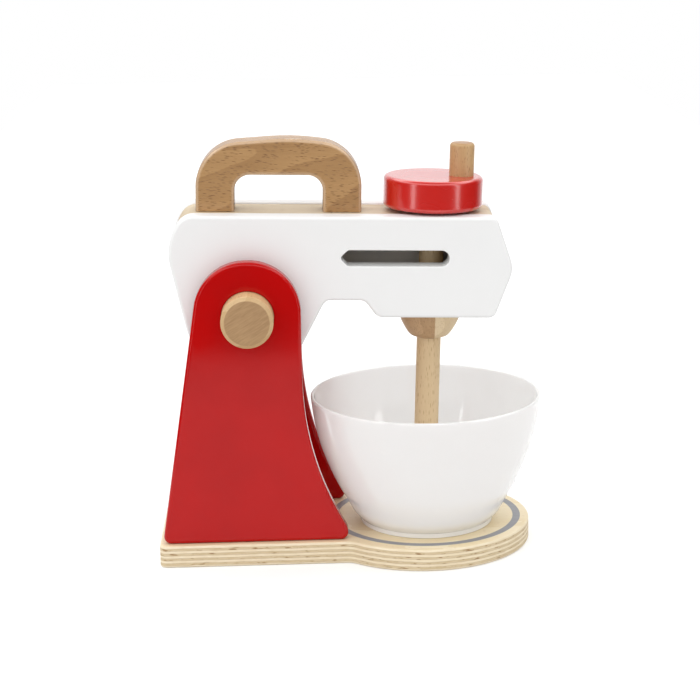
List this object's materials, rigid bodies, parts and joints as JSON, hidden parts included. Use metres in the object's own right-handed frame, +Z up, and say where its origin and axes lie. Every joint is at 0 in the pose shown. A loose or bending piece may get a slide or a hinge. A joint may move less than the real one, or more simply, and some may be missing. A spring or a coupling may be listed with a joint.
{
  "type": "toy mixer",
  "caption": "Wooden toy stand mixer: tilting head on a plywood base, hand-turned crank with a mixing shaft, carrying handle and a lift-out bowl.",
  "frame": {"origin": "on the underside of the base, below the centre of the ring printed for the bowl", "axes": "+X from the tail towards the nose, +Y from the front upright to the rear upright, +Z up"},
  "size_m": [0.258, 0.1571, 0.2784],
  "materials": {
    "plywood": "clear satin birch plywood with its plies showing at the edge",
    "red_paint": "satin red paint on board",
    "red_gloss": "gloss red lacquer on wood",
    "white_paint": "satin white paint on board",
    "white_plastic": "smooth gloss",
    "beech": "sanded beech, unpainted",
    "pale_wood": "sanded pale wood, unpainted",
    "screw_steel": "zinc plated",
    "washer_nylon": "natural nylon"
  },
  "bodies": {
    "stand": {"base_plate": "plywood", "front_upright": "red_paint", "rear_upright": "red_paint", "base_screw_front_tail": "screw_steel", "base_screw_front_nose": "screw_steel", "base_screw_rear_tail": "screw_steel", "base_screw_rear_nose": "screw_steel", "rest_block": "red_paint", "pivot_dowel": "pale_wood", "pivot_washer_front": "washer_nylon", "pivot_washer_rear": "washer_nylon"},
    "head": {"head_front_board": "white_paint", "head_rear_board": "white_paint", "core_tail_block": "pale_wood", "core_top_rail": "pale_wood", "core_bottom_rail": "pale_wood", "core_nose_block": "pale_wood", "carry_handle": "beech", "handle_dowel_tail": "beech", "handle_dowel_nose": "beech"},
    "crank": {"crank_knob": "red_gloss", "knob_washer": "washer_nylon", "crank_peg": "beech", "mixer_shaft": "beech", "shaft_collar": "beech"},
    "bowl": {"mixing_bowl": "white_plastic"}
  },
  "joints": [
    {"name": "head_tilt", "type": "hinge", "parent": "stand", "child": "head", "pos_m": [-0.1168, 0, 0.1685], "axis": [0, -1, 0], "range_deg": [0, 76]},
    {"name": "crank_spin", "type": "hinge", "parent": "head", "child": "crank", "pos_m": [0.00455, 0, 0.16511], "axis": [0.0363, 0, 0.9993], "continuous": true},
    {"name": "bowl_lift", "type": "slide", "parent": "stand", "child": "bowl", "axis": [0, 0, 1], "range_m": [0, 0.014]}
  ]
}
